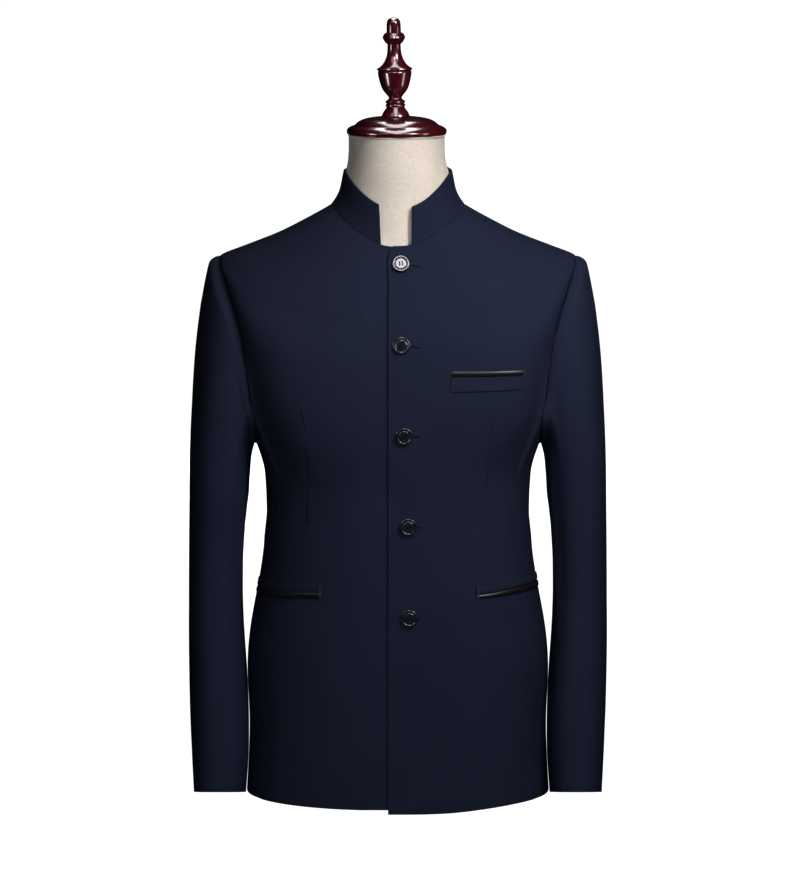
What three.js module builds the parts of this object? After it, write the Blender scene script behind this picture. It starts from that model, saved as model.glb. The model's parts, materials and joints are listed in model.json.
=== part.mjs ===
// A man's stand-collar tunic jacket, buttoned left over right on a limbless dress form.
//
// Millimetres, +Z up, the wearer faces -Y and the wearer's left is +X. The origin is the middle of
// the form's base board, on the surface that the form stands on.
//
// The cloth is a thin wall. Its outer face is a loft through the sections of BODY, COLLAR and
// SLEEVE; each panel takes its own stretch of that loft, and keeps SEAM to its neighbours where it
// is sewn to them. The form is the same loft, moved in by the wall and by the wearer's ease.
import * as THREE from "three";

// ---- Driving dimensions ----
const WALL = 2; // suiting with its interlining
const SEAM = 0.3; // between two pieces that are sewn or laid together
const EDGE_X = -11.6; // the left front's edge, past the centre line
const UNDERLAP_X = 26; // the right front's edge, hidden under the left front
const LAP_INSET = WALL + 1.2; // how far the right front steps in to pass under the left one
const LAP_FROM_X = -60; // the step runs smoothly from here
const LAP_TO_X = -12.5; // to here
const CORNER = { x: 6, row: 21.8 }; // the left front's top corner is rounded away from this row up
const HEM_DROP = { z: 4.8, from_x: 40, to_x: 165 }; // the left front's lower hem, at its edge
const COLLAR_END_X = { left: { foot: 17, top: 17 }, right: { foot: -20.8, top: -23 } };
const LAP_COLUMNS_X = {
  left: [EDGE_X, -3, 7, COLLAR_END_X.left.foot, 31],
  right: [UNDERLAP_X, 7, -12, COLLAR_END_X.right.foot, -34, -47],
};
const BUTTON_RADIUS = 10.5;
const BUTTON_GAP = 0.5; // the thread shank's room between a button and the cloth
// Pockets. A hip pocket's edges slope from their inner end until set_by of its length.
const POCKET = { start: { left: 92.5, right: 90 }, length: 120, set_by: 0.55, rise: 1.6, columns: 17 };
const POCKET_Z = {
  left: { bottom: [258.5, 261], middle: [263.8, 269.4], top: [274, 278.8] },
  right: { bottom: [259.6, 254.1], middle: [266.4, 262], top: [277.7, 273.6] },
};
const CHEST_POCKET = { start: 63, end: 149, rise: 1.4, columns: 11 };
const CHEST_POCKET_Z = { bottom: [507.6, 509.2], middle: [525.6, 525.6], top: [532.8, 532.8] };
const NECK = { radius: 57.4, x: -1.4, y: -10, top: 802 };
const ARM_END_X = 194; // the form's flat arm ends
const BASE = { thickness: 10, inset: 38, chamfer: 2 };
const CAP_Z = 804.6;
const FINIAL = { x: -2.6, z: 825.7, lean: 1.3 }; // it is screwed in a little askew

const RAD = Math.PI / 180;
const SIDES = { left: 1, right: -1 };

// ---- Tables ----
// Rows of named columns, read at any height between the rows by a smooth curve through them.
function table(columns, rows) {
  const clamped = (row) => THREE.MathUtils.clamp(row, 0, rows.length - 1);
  const column = (name, row) => rows[clamped(row)][columns.indexOf(name)];
  function read(name, t) {
    const row = Math.min(Math.floor(t), rows.length - 2);
    const [a, b, c, d] = [row - 1, row, row + 1, row + 2].map((r) => column(name, r));
    const before = row > 0 ? a : 2 * b - c;
    const after = row + 2 < rows.length ? d : 2 * c - b;
    const f = t - row;
    const cubic = 3 * (b - c) + after - before;
    const square = 2 * before - 5 * b + 4 * c - after;
    return b + 0.5 * f * (c - before + f * (square + f * cubic));
  }
  return {
    last: rows.length - 1,
    at: (t) => Object.fromEntries(columns.map((name) => [name, read(name, t)])),
  };
}

// The jacket's outer face: heights at the side, centre front and centre back, half width at the
// side, and depth in front of and behind the side seam. Square is the shape of the section (2 is an
// ellipse), and roll how soon its edge falls away from the shoulder line. The armhole runs from
// scye_front to scye_back, in degrees round from the centre front. The ease is the room left
// between the cloth and the form, at the side and at the front and back.
const BODY = table(
  [
    "z_side", "z_front", "z_back", "half_width", "front", "back", "square", "roll",
    "scye_front", "scye_back", "ease_side", "ease",
  ],
  [
    [11, 6.2, 10, 182.5, 118, 114, 2.4, 2, 62, 117, 12, 13], // hem
    [61, 61, 61, 179.6, 118, 115.5, 2.4, 2, 62, 117, 12, 12],
    [117, 117, 117, 178.8, 118, 116, 2.4, 2, 62, 117, 10, 10],
    [175, 175, 175, 181.3, 117.5, 113.5, 2.4, 2, 62, 117, 9, 9], // hip
    [226, 226, 226, 174.8, 116.5, 108, 2.4, 2, 62, 117, 8, 8],
    [269, 269, 269, 166.8, 115.5, 102.5, 2.4, 2, 62, 117, 8, 8], // pockets
    [312, 312, 312, 160.6, 114.5, 98.5, 2.4, 2, 62, 117, 8, 8],
    [359, 359, 359, 158, 114, 96, 2.4, 2, 62, 117, 8, 8], // waist
    [397, 396, 397, 159, 115.5, 98, 2.45, 2, 62, 117, 8, 8],
    [434, 430, 434, 169.5, 118.5, 102.5, 2.75, 2, 60.5, 118.5, 9, 7], // bottom of the armhole
    [469, 460, 467, 181, 120.5, 107, 3.1, 2, 58.5, 120, 10, 6], // side seams reach the armhole
    [500, 479, 493, 186, 121, 110, 3.3, 2, 58.2, 121, 11, 6],
    [532, 497, 518, 189, 120.5, 112, 3.4, 2, 58.2, 121.2, 12, 6],
    [565, 515, 543, 192, 119, 113, 3.4, 1.95, 59.2, 120, 13, 6],
    [599, 534, 565, 197, 117, 112.5, 3.3, 1.75, 61.6, 116.5, 14, 6],
    [628, 552, 585, 203, 114, 110.5, 3, 1.45, 67.6, 110.5, 14, 7],
    [647, 568, 602, 209, 110.5, 107.5, 2.6, 1.3, 77, 102, 13, 8],
    [658, 582, 619, 212, 107, 104, 2.25, 1.35, 90, 90, 9, 9], // shoulder end
    [665.5, 596, 637, 196, 103, 99.5, 2.25, 1.55, 90, 90, 3, 10],
    [674.5, 613, 655, 172, 97, 93.5, 2.25, 1.65, 90, 90, 0.4, 10],
    [684, 630, 672, 147, 90.5, 86.5, 2.25, 1.75, 90, 90, 0.4, 10],
    [695, 646, 690, 124, 84, 79.5, 2.15, 1.85, 90, 90, 0.4, 9],
    [707, 661, 708, 101, 77, 72.5, 2.1, 1.95, 90, 90, 0.4, 8],
    [719, 676, 725, 80, 70, 66, 2, 2, 90, 90, 1.2, 6], // neck seam
  ],
);
const HIP_ROW = 3;
const PIT_ROW = 9;
const SEAM_TOP_ROW = 10;
const SHOULDER_ROW = 17;

// The stand collar, from the neck seam to its top edge.
const COLLAR = table(
  ["z_side", "z_front", "z_back", "half_width", "front", "back"],
  [
    [719, 676, 725, 80, 70, 66],
    [728, 687.5, 736, 73.8, 69.7, 62.5],
    [738, 698, 748, 69.3, 69.4, 60],
    [749, 709, 760, 66.9, 69.2, 58.3],
    [760.5, 719.5, 772, 64.6, 69, 57],
  ],
);

// The form's neck above the neck seam, up to its flat top.
const FORM_NECK = table(
  ["z_side", "z_front", "z_back", "half_width", "front", "back"],
  [
    [726, 687, 731, 71, 60.5, 58.5],
    [738, 705, 743, 65.8, 60.5, 56],
    [749, 725, 754, 63.4, 61, 53.5],
    [760, 744, 765, 61, 62.5, 51],
    [769, 761, 773, 58.8, 64.5, 49.5],
    [783, 780, 786, NECK.radius, NECK.radius + 8, NECK.radius - 8],
    [NECK.top, NECK.top, NECK.top, NECK.radius, NECK.radius - NECK.y, NECK.radius + NECK.y],
  ],
);

// Each sleeve ring spans from its outer line to its inner line. It fans out from the armhole about
// the underarm, and is level from the biceps down. The cuff is carried forward by y_mid, and lean
// tips a ring square to the sleeve's own run. Square is the shape of the ring, as in BODY.
const SLEEVE = table(
  ["x_outer", "z_outer", "x_inner", "z_inner", "y_mid", "half_depth", "lean", "settled", "square"],
  [
    [212, 658, 171, 434, 0, 60, 0, 0, 2], // armhole seam
    [218.3, 656.3, 172.6, 433, 0, 62.5, 0, 0.1, 2],
    [223.8, 652.3, 173, 431.6, 0, 64.5, 0, 0.2, 2],
    [227.4, 643, 173.3, 430, 0, 66, 0, 0.35, 2],
    [233.4, 613, 173.7, 428, 0.5, 69, 0, 0.5, 2.05],
    [239.2, 574, 174.2, 425.4, 1, 72, 0, 0.65, 2.1],
    [243.7, 527, 174.8, 422, 2, 74.5, 0, 0.8, 2.2],
    [246.6, 477, 175.6, 417.5, 3, 75.5, 0, 0.92, 2.35],
    [249.4, 422, 176.8, 406, 4, 75, 0, 1, 2.5], // biceps
    [250.3, 371, 180.2, 367, 5, 72, 0, 1, 2.5],
    [251, 319, 184.7, 319, 5, 68.5, 1, 1, 2.5], // elbow
    [251.4, 265, 186.7, 265, 2, 65.5, 4, 1, 2.5],
    [251.3, 211, 185.4, 211, -6, 62.5, 7, 1, 2.5],
    [250.5, 161, 182, 161, -15, 60, 9, 1, 2.5],
    [249.4, 111, 179.6, 111, -24.5, 58, 10, 1, 2.5],
    [247.6, 63, 179.4, 63, -33.5, 56.8, 10.5, 1, 2.5],
    [245, 14.6, 182.6, 14.6, -43, 56, 10.5, 1, 2.5], // cuff
  ],
);

// ---- The lofted surfaces ----
// A point of a closed section, angle degrees round from the centre front towards one side.
function sectionPoint(section, side, angle) {
  const across = Math.sin(angle * RAD);
  const along = Math.cos(angle * RAD);
  const { square = 2, roll = 2 } = section;
  const reach = (Math.abs(across) ** square + Math.abs(along) ** square) ** (-1 / square);
  const depth = along > 0 ? section.front : section.back;
  const end = along > 0 ? section.z_front : section.z_back;
  return new THREE.Vector3(
    side * section.half_width * across * reach,
    -depth * along * reach,
    section.z_side + (end - section.z_side) * Math.abs(along) ** roll,
  );
}

function bodyPoint(side, angle, t) {
  return sectionPoint(BODY.at(t), side, angle);
}

// The way out of the body's surface at a point.
function bodyNormal(side, angle, t) {
  const [turn, climb] = [0.5, 0.02];
  const low = Math.max(t - climb, 0);
  const high = Math.min(t + climb, BODY.last);
  const round = bodyPoint(side, angle + turn, t).sub(bodyPoint(side, angle - turn, t));
  const up = bodyPoint(side, angle, high).sub(bodyPoint(side, angle, low));
  return round.cross(up).multiplyScalar(side).normalize();
}

// Finds where a rising function passes a value.
function solve(rising, value, low, high) {
  for (let i = 0; i < 40; i++) {
    const middle = (low + high) / 2;
    if (rising(middle) < value) low = middle;
    else high = middle;
  }
  return (low + high) / 2;
}

// The angle at which a section is x from the centre line, on the way to one side.
function angleAt(side, t, x) {
  return solve((angle) => side * bodyPoint(side, angle, t).x, side * x, -60, 90);
}

// The row at which the body's surface is at height z.
function rowAt(angle, z) {
  return solve((t) => bodyPoint(1, angle, t).z, z, 0, BODY.last);
}

// The angle of the place on the wearer's left front that is x from the centre line, at height z.
function frontAngleAt(x, z) {
  return solve((angle) => bodyPoint(1, angle, rowAt(angle, z)).x, x, -10, 80);
}

// Where each body panel is sampled up its height.
const LOWER_ROWS = [0, 1, 2, HIP_ROW, 4, 5, 6, 7, 8, PIT_ROW, SEAM_TOP_ROW];
const ARMHOLE_ROWS = [10.9, 11.8, 12.7, 13.5, 14.3, 15, 15.6, 16.1, 16.6, SHOULDER_ROW];
const SHOULDER_ROWS = [17.5, 18.2, 19.2, 20.2, 21.2, 22.2, BODY.last];
const BODY_ROWS = [...LOWER_ROWS, ...ARMHOLE_ROWS, ...SHOULDER_ROWS];
const SIDE_COLUMNS = 7;
const UNDERARM_CURVE = 2.2; // how flat the armhole is under the arm

// ---- Closed solids ----
// A geometry of points and faces (lists of point numbers), turned so that its faces point out.
function solid(points, faces) {
  const triangles = faces.flatMap((f) => f.slice(2).map((_, i) => [f[0], f[i + 1], f[i + 2]]));
  const cone = ([a, b, c]) => points[a].dot(points[b].clone().cross(points[c]));
  const volume = triangles.reduce((sum, triangle) => sum + cone(triangle), 0);
  if (volume < 0) triangles.forEach((triangle) => triangle.reverse());
  const geometry = new THREE.BufferGeometry();
  const coordinates = points.flatMap((p) => p.toArray());
  geometry.setAttribute("position", new THREE.Float32BufferAttribute(coordinates, 3));
  geometry.setIndex(triangles.flat());
  geometry.computeVertexNormals();
  return geometry;
}

// A wall between two grids of points, rows by columns, the same size.
function wall(outer, inner) {
  const rows = outer.length;
  const columns = outer[0].length;
  const outside = (i, j) => i * columns + j;
  const inside = (i, j) => rows * columns + i * columns + j;
  const faces = [];
  for (let i = 0; i + 1 < rows; i++) {
    for (let j = 0; j + 1 < columns; j++) {
      faces.push([outside(i, j), outside(i, j + 1), outside(i + 1, j + 1), outside(i + 1, j)]);
      faces.push([inside(i, j), inside(i + 1, j), inside(i + 1, j + 1), inside(i, j + 1)]);
    }
    const last = columns - 1;
    faces.push([outside(i, 0), outside(i + 1, 0), inside(i + 1, 0), inside(i, 0)]);
    faces.push([outside(i, last), inside(i, last), inside(i + 1, last), outside(i + 1, last)]);
  }
  for (let j = 0; j + 1 < columns; j++) {
    const last = rows - 1;
    faces.push([outside(0, j), inside(0, j), inside(0, j + 1), outside(0, j + 1)]);
    faces.push([outside(last, j), outside(last, j + 1), inside(last, j + 1), inside(last, j)]);
  }
  return solid([...outer.flat(), ...inner.flat()], faces);
}

// A body closed by a flat face below its first ring and above its last one.
function stack(rings) {
  const size = rings[0].length;
  const points = rings.flat();
  const faces = [];
  for (let i = 0; i + 1 < rings.length; i++) {
    for (let j = 0; j < size; j++) {
      const next = (j + 1) % size;
      faces.push([i * size + j, i * size + next, (i + 1) * size + next, (i + 1) * size + j]);
    }
  }
  const middle = (ring) => ring.reduce((sum, p) => sum.add(p), new THREE.Vector3()).divideScalar(size);
  const bottom = points.push(middle(rings[0])) - 1;
  const top = points.push(middle(rings.at(-1))) - 1;
  const start = (rings.length - 1) * size;
  for (let j = 0; j < size; j++) {
    const next = (j + 1) % size;
    faces.push([bottom, next, j], [top, start + j, start + next]);
  }
  return solid(points, faces);
}

// A copy of b, moved a distance towards a.
const towards = (a, b, distance) => b.clone().add(a.clone().sub(b).setLength(distance));

// Draws a grid's first and last columns in by half a seam, so that its neighbours clear it.
function drawIn(outer, inner) {
  outer.forEach((row, i) => {
    for (const [edge, next] of [[0, 1], [row.length - 1, row.length - 2]]) {
      const step = row[next].clone().sub(row[edge]).setLength(SEAM / 2);
      row[edge] = row[edge].clone().add(step);
      inner[i][edge] = inner[i][edge].clone().add(step);
    }
  });
}

// The way out of a grid at each of its points, turned to agree with a given direction.
function gridNormals(grid, out) {
  return grid.map((row, i) =>
    row.map((point, j) => {
      const up = grid[Math.min(i + 1, grid.length - 1)][j].clone().sub(grid[Math.max(i - 1, 0)][j]);
      const round = row[Math.min(j + 1, row.length - 1)].clone().sub(row[Math.max(j - 1, 0)]);
      const normal = round.cross(up).normalize();
      return normal.dot(out(point, i, j)) < 0 ? normal.negate() : normal;
    }),
  );
}

// ---- Body panels ----
// The right front steps in towards the centre line, where the left front covers it.
function lapStep(side, x) {
  return side < 0 ? LAP_INSET * THREE.MathUtils.smoothstep(x, LAP_FROM_X, LAP_TO_X) : 0;
}

function edgeX(t, name) {
  const corner = THREE.MathUtils.smoothstep(t, CORNER.row, BODY.last) ** 2;
  return LAP_COLUMNS_X[name][0] + (name === "left" ? CORNER.x * corner : 0);
}

// A front's columns at one row: some at set distances from the centre line, the rest spread out to
// the side seam, the armhole or the shoulder seam.
function frontAngles(name, t) {
  const side = SIDES[name];
  const shift = edgeX(t, name) - LAP_COLUMNS_X[name][0];
  const near = LAP_COLUMNS_X[name].map((x, i) => angleAt(side, t, i ? x : x + shift));
  const from = near.at(-1);
  const to = Math.min(BODY.at(Math.max(t, SEAM_TOP_ROW)).scye_front, 90);
  const spread = [0.17, 0.34, 0.5, 0.64, 0.76, 0.88, 1];
  return [...near, ...spread.map((share) => from + (to - from) * share)];
}

function backAngles(t) {
  const from = Math.max(BODY.at(Math.max(t, SEAM_TOP_ROW)).scye_back, 90);
  const spread = [0, 0.12, 0.25, 0.38, 0.52, 0.68, 0.84, 1];
  return spread.map((share) => from + (180 - from) * share);
}

const sideAngles = Array.from({ length: SIDE_COLUMNS }, (_, j) => {
  const { scye_front, scye_back } = BODY.at(SEAM_TOP_ROW);
  return scye_front + ((scye_back - scye_front) * j) / (SIDE_COLUMNS - 1);
});

// The row of the armhole's lower edge, round under the arm.
function underarmRow(angle) {
  const middle = (sideAngles[0] + sideAngles.at(-1)) / 2;
  const share = Math.abs(angle - middle) / (sideAngles.at(-1) - middle);
  return PIT_ROW + (SEAM_TOP_ROW - PIT_ROW) * share ** UNDERARM_CURVE;
}

function bodyPanel(side, rows, anglesAt, rowFor, shape = (point) => point) {
  const outer = [];
  const inner = [];
  for (const t of rows) {
    const places = anglesAt(t).map((angle) => [angle, rowFor(angle, t)]);
    outer.push(
      places.map(([angle, row]) => {
        const point = bodyPoint(side, angle, row);
        return shape(point.addScaledVector(bodyNormal(side, angle, row), -lapStep(side, point.x)), row);
      }),
    );
    inner.push(
      places.map(([angle, row], j) => {
        const point = outer.at(-1)[j].clone();
        return point.addScaledVector(bodyNormal(side, angle, row), -WALL);
      }),
    );
  }
  drawIn(outer, inner);
  return wall(outer, inner);
}

// The left front hangs a little lower towards its edge.
function dropHem(point, t) {
  const nearEdge = 1 - THREE.MathUtils.smoothstep(Math.abs(point.x), HEM_DROP.from_x, HEM_DROP.to_x);
  point.z -= HEM_DROP.z * Math.max(0, 1 - t) ** 2 * nearEdge;
  return point;
}

const sameRow = (angle, t) => t;
const HEM_SHAPE = { left: dropHem, right: undefined };
const front = (name) =>
  bodyPanel(SIDES[name], BODY_ROWS, (t) => frontAngles(name, t), sameRow, HEM_SHAPE[name]);
const back = (name) => bodyPanel(SIDES[name], BODY_ROWS, backAngles, sameRow);
const sideRow = (angle, t) => (t * underarmRow(angle)) / SEAM_TOP_ROW;
const sidePanel = (name) => bodyPanel(SIDES[name], LOWER_ROWS, () => sideAngles, sideRow);

// ---- Stand collar ----
// It runs from its end on the right front, round the back of the neck, to its end on the left.
function collar() {
  const endAngle = (side, t) => {
    const { foot, top } = COLLAR_END_X[side > 0 ? "left" : "right"];
    const x = THREE.MathUtils.lerp(foot, top, t / COLLAR.last);
    return solve((angle) => side * sectionPoint(COLLAR.at(t), side, angle).x, side * x, -60, 90);
  };
  const half = (name) => {
    const end = endAngle(SIDES[name], 0);
    const fronts = frontAngles(name, BODY.last).filter((angle) => angle > end + 0.1);
    return [end, ...fronts, ...backAngles(BODY.last).slice(1)].map((angle) => [SIDES[name], angle]);
  };
  // Higher up, the band's columns shift so that its ends keep to their own lines.
  const shifted = (side, angle, t) => {
    const [low, high] = [endAngle(side, 0), endAngle(side, t)];
    return high + ((angle - low) * (180 - high)) / (180 - low);
  };
  const round = [...half("right"), ...half("left").slice(0, -1).reverse()];
  const outer = Array.from({ length: COLLAR.last + 1 }, (_, t) =>
    round.map(([side, angle]) => {
      const point = sectionPoint(COLLAR.at(t), side, shifted(side, angle, t));
      const step = lapStep(side, point.x) * (1 - t / COLLAR.last);
      return point.addScaledVector(bodyNormal(side, angle, BODY.last), -step);
    }),
  );
  outer[0] = outer[0].map((point, j) => towards(outer[1][j], point, SEAM));
  const normals = gridNormals(outer, (point) => new THREE.Vector3(point.x, point.y, 0));
  const inner = outer.map((row, i) => row.map((p, j) => p.clone().addScaledVector(normals[i][j], -WALL)));
  return wall(outer, inner);
}

// ---- Sleeves ----
// The armhole's edge, from the shoulder down the front, under the arm and up the back.
function armhole(side) {
  const rows = [SEAM_TOP_ROW, ...ARMHOLE_ROWS];
  const frontEdge = rows.map((t) => bodyPoint(side, BODY.at(t).scye_front, t)).reverse();
  const under = sideAngles.slice(1, -1).map((angle) => bodyPoint(side, angle, underarmRow(angle)));
  const backEdge = rows.slice(0, -1).map((t) => bodyPoint(side, BODY.at(t).scye_back, t));
  return [...frontEdge, ...under, ...backEdge];
}

// A sleeve ring's point at a turn round it: 0 at the outer line, 90 degrees at the front.
function ringPoint(ring, side, turn) {
  const squared = (value) => Math.sign(value) * Math.abs(value) ** (2 / ring.square);
  const out = squared(Math.cos(turn));
  const forward = ring.half_depth * squared(Math.sin(turn));
  const share = (out + 1) / 2;
  return new THREE.Vector3(
    side * (ring.x_inner + (ring.x_outer - ring.x_inner) * share),
    ring.y_mid - forward,
    ring.z_inner + (ring.z_outer - ring.z_inner) * share + forward * Math.tan(ring.lean * RAD),
  );
}

// All the sleeve's points. The first rings keep the armhole's own outline, and settle to an oval.
function sleeveGrid(side) {
  const edge = armhole(side);
  const start = SLEEVE.at(0);
  const middle = (start.z_outer + start.z_inner) / 2;
  const half = start.z_outer - middle;
  const turns = edge.map((p) => Math.atan2(-p.y / start.half_depth, (p.z - middle) / half));
  const grid = Array.from({ length: SLEEVE.last + 1 }, (_, t) => {
    const ring = SLEEVE.at(t);
    return edge.map((point, k) => {
      const odd = point.clone().sub(ringPoint(start, side, turns[k]));
      return ringPoint(ring, side, turns[k]).addScaledVector(odd, 1 - ring.settled);
    });
  });
  grid[0] = grid[0].map((point, k) => towards(grid[1][k], point, SEAM + 0.1));
  return grid;
}

// One sleeve is cut in two: the top sleeve goes over the arm, the under sleeve lies against the
// body. The seams are at the inside of the front and at the back.
function sleevePiece(name, part) {
  const side = SIDES[name];
  const full = sleeveGrid(side);
  const count = full[0].length;
  const frontSeam = ARMHOLE_ROWS.length + 2;
  const backSeam = count - ARMHOLE_ROWS.length + 3;
  const closed = full.map((row) => [...row.slice(-1), ...row, row[0]]);
  const axis = (t) => {
    const { x_outer, x_inner, y_mid, z_outer, z_inner } = SLEEVE.at(t);
    return new THREE.Vector3((side * (x_outer + x_inner)) / 2, y_mid, (z_outer + z_inner) / 2);
  };
  const closedNormals = gridNormals(closed, (point, t) => point.clone().sub(axis(t)));
  const normals = closedNormals.map((row) => row.slice(1, -1));
  const pick =
    part === "under"
      ? Array.from({ length: backSeam - frontSeam + 1 }, (_, k) => frontSeam + k)
      : Array.from({ length: count - backSeam + frontSeam + 1 }, (_, k) => (backSeam + k) % count);
  const outer = full.map((row) => pick.map((k) => row[k].clone()));
  const moveIn = (point, normal) => point.clone().addScaledVector(normal, -WALL);
  const inner = outer.map((row, t) => row.map((point, j) => moveIn(point, normals[t][pick[j]])));
  drawIn(outer, inner);
  return wall(outer, inner);
}

// ---- Pockets ----
// A strip laid on the body between two edges. An edge gives its height at each share of the way
// from the strip's first angle to its last.
function strip(side, fromAngle, toAngle, edges, rise, columns) {
  const places = edges.map((heightAt) =>
    Array.from({ length: columns }, (_, j) => {
      const share = j / (columns - 1);
      const angle = fromAngle + (toAngle - fromAngle) * share;
      return [angle, rowAt(angle, heightAt(share))];
    }),
  );
  const raised = (angle, t, out) => {
    const point = bodyPoint(side, angle, t);
    return point.addScaledVector(bodyNormal(side, angle, t), out);
  };
  const moved = (out) => places.map((row) => row.map(([angle, t]) => raised(angle, t, out)));
  return wall(moved(SEAM + rise), moved(SEAM));
}

// The angle that lies a length round the body from another angle, at height z.
function angleAfter(side, start, z, length) {
  const step = 0.5;
  let [angle, covered] = [start, 0];
  while (covered < length) {
    const here = bodyPoint(side, angle, rowAt(angle, z));
    angle += step;
    covered += here.distanceTo(bodyPoint(side, angle, rowAt(angle, z)));
  }
  return angle;
}

function hipPocket(name, lower, upper, gap) {
  const side = SIDES[name];
  const heights = POCKET_Z[name];
  const start = angleAt(side, rowAt(0, heights.middle[0]), side * POCKET.start[name]);
  const end = angleAfter(side, start, heights.middle[0], POCKET.length);
  const edge = ([inner, outer], raise) => (share) =>
    raise + THREE.MathUtils.lerp(inner, outer, THREE.MathUtils.smoothstep(share, 0, POCKET.set_by));
  const edges = [edge(heights[lower], gap), edge(heights[upper], 0)];
  return strip(side, start, end, edges, POCKET.rise, POCKET.columns);
}

function chestPocket(lower, upper, gap) {
  const { start, end, rise, columns } = CHEST_POCKET;
  const angles = [start, end].map((x) => frontAngleAt(x, CHEST_POCKET_Z.middle[0]));
  const edge = ([from, to], raise) => (share) => raise + THREE.MathUtils.lerp(from, to, share);
  const edges = [edge(CHEST_POCKET_Z[lower], gap), edge(CHEST_POCKET_Z[upper], 0)];
  return strip(1, ...angles, edges, rise, columns);
}

// ---- Buttons ----
const BUTTONS = [
  { x: 3.6, z: 654.6 },
  { x: 4.2, z: 561.5 },
  { x: 7.4, z: 455.9 },
  { x: 12.3, z: 346.6 },
  { x: 13.6, z: 237.4 },
];
const BUTTON_SIDES = 18;
const BUTTON_PROFILE = [
  [0, 0],
  [0.84, 0],
  [1, 0.9],
  [1, 2.3],
  [0.94, 3],
  [0.85, 3],
  [0.74, 2.1],
  [0, 1.9],
];

// Turns a profile of [radius, height] pairs about +Z.
function turned(profile, segments) {
  const points = profile.map(([radius, height]) => new THREE.Vector2(radius, height));
  return new THREE.LatheGeometry(points, segments).rotateX(Math.PI / 2);
}

function button({ x, z }) {
  const geometry = turned(BUTTON_PROFILE.map(([r, h]) => [r * BUTTON_RADIUS, h]), BUTTON_SIDES);
  const angle = frontAngleAt(x, z);
  const t = rowAt(angle, z);
  const out = bodyNormal(1, angle, t);
  const place = bodyPoint(1, angle, t).addScaledVector(out, BUTTON_GAP);
  return { geometry, place, out };
}

// ---- Dress form ----
const FORM_ROWS = [
  1, HIP_ROW, 4, 5, 6, 7, 8, PIT_ROW, SEAM_TOP_ROW, 12, 13.5, 15, 16, SHOULDER_ROW, ...SHOULDER_ROWS,
];
const FORM_SIDES = 28;
const FORM_ANGLES = Array.from({ length: FORM_SIDES }, (_, j) => (j * 360) / FORM_SIDES);

// One of the form's rings: a point for each angle all round, from the centre front.
function formRing(pointAt) {
  return FORM_ANGLES.map((turn) => (turn <= 180 ? pointAt(1, turn) : pointAt(-1, 360 - turn)));
}

function formTorso() {
  const body = FORM_ROWS.map((t) =>
    formRing((side, angle) => {
      const { ease_side, ease } = BODY.at(t);
      const room = ease_side + (ease - ease_side) * Math.cos(angle * RAD) ** 2;
      const point = bodyPoint(side, angle, t).addScaledVector(bodyNormal(side, angle, t), -WALL - room);
      return point.setX(THREE.MathUtils.clamp(point.x, -ARM_END_X, ARM_END_X));
    }),
  );
  const foot = body[0].map((point) => new THREE.Vector3(point.x, point.y, BASE.thickness + SEAM));
  const shift = (t) => NECK.x * THREE.MathUtils.smoothstep(t, 0, FORM_NECK.last - 1);
  const neckPoint = (t, side, angle) => {
    const point = sectionPoint(FORM_NECK.at(t), side, angle);
    return point.setX(point.x + shift(t));
  };
  const neck = Array.from({ length: FORM_NECK.last + 1 }, (_, t) =>
    formRing((side, angle) => neckPoint(t, side, angle)),
  );
  return stack([foot, ...body, ...neck]);
}

// The board under the form, a little smaller than the form's foot, with softened edges.
function baseBoard() {
  const section = { ...BODY.at(1), z_side: 0, z_front: 0, z_back: 0 };
  const ring = (inset, z) => {
    const smaller = {
      ...section,
      half_width: section.half_width - WALL - section.ease_side - inset,
      front: section.front - WALL - section.ease - inset,
      back: section.back - WALL - section.ease - inset,
    };
    return formRing((side, angle) => sectionPoint(smaller, side, angle).setZ(z));
  };
  return stack([
    ring(BASE.inset + BASE.chamfer, 0),
    ring(BASE.inset, BASE.chamfer),
    ring(BASE.inset, BASE.thickness - BASE.chamfer),
    ring(BASE.inset + BASE.chamfer, BASE.thickness),
  ]);
}

// Turned wood: the domed cap over the neck, and the finial on it. Radius and height, from the foot.
const CAP_PROFILE = [
  [0, 0], [56, 0], [58.6, 1], [59.6, 3], [59, 5.2], [56, 7.8], [51, 10], [49.2, 10.8], [48.4, 12],
  [44, 15.2], [37, 17.8], [28, 19.4], [17.5, 20.4], [0, 20.8],
];
const FINIAL_PROFILE = [
  [0, 0], [16.6, 0], [15.8, 2.4], [13.6, 6.2], [11.2, 9.4], [10.4, 10.8], [11.8, 12.2], [11.6, 13.6],
  [10.2, 14.8], [11.7, 16.4], [11.4, 18], [8.6, 19.8], [7.5, 21.6], [9, 24.2], [13.6, 30], [16.6, 36],
  [19, 45], [20, 51.6], [19.3, 53.8], [21.5, 56.2], [17.7, 58.4], [13.8, 62.2], [10.8, 67.2],
  [8.9, 72.6], [8, 79], [7.8, 85.4], [10.8, 88.4], [13.5, 93.4], [11.6, 97.6], [8.5, 99.4],
  [8.4, 105.2], [7.9, 111.8], [6, 115.3], [0, 117.1],
];
const RIM_PROFILE = [[0, 0], [57.6, 0], [58.2, 0.8], [57.6, 1.7], [0, 1.7]];

// ---- The object ----
const MATERIALS = {
  suiting: new THREE.MeshStandardMaterial({ color: 0x1c2033, roughness: 0.82, metalness: 0 }),
  satin: new THREE.MeshStandardMaterial({ color: 0x0c0c0f, roughness: 0.38, metalness: 0 }),
  button: new THREE.MeshStandardMaterial({ color: 0x14151c, roughness: 0.22, metalness: 0 }),
  linen: new THREE.MeshStandardMaterial({ color: 0xcfc3ae, roughness: 0.9, metalness: 0 }),
  wood: new THREE.MeshStandardMaterial({ color: 0x3c0f14, roughness: 0.16, metalness: 0 }),
};

const jacketOnForm = new THREE.Group();

function add(name, geometry, material) {
  const mesh = new THREE.Mesh(geometry, MATERIALS[material]);
  mesh.name = name;
  jacketOnForm.add(mesh);
  return mesh;
}

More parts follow.
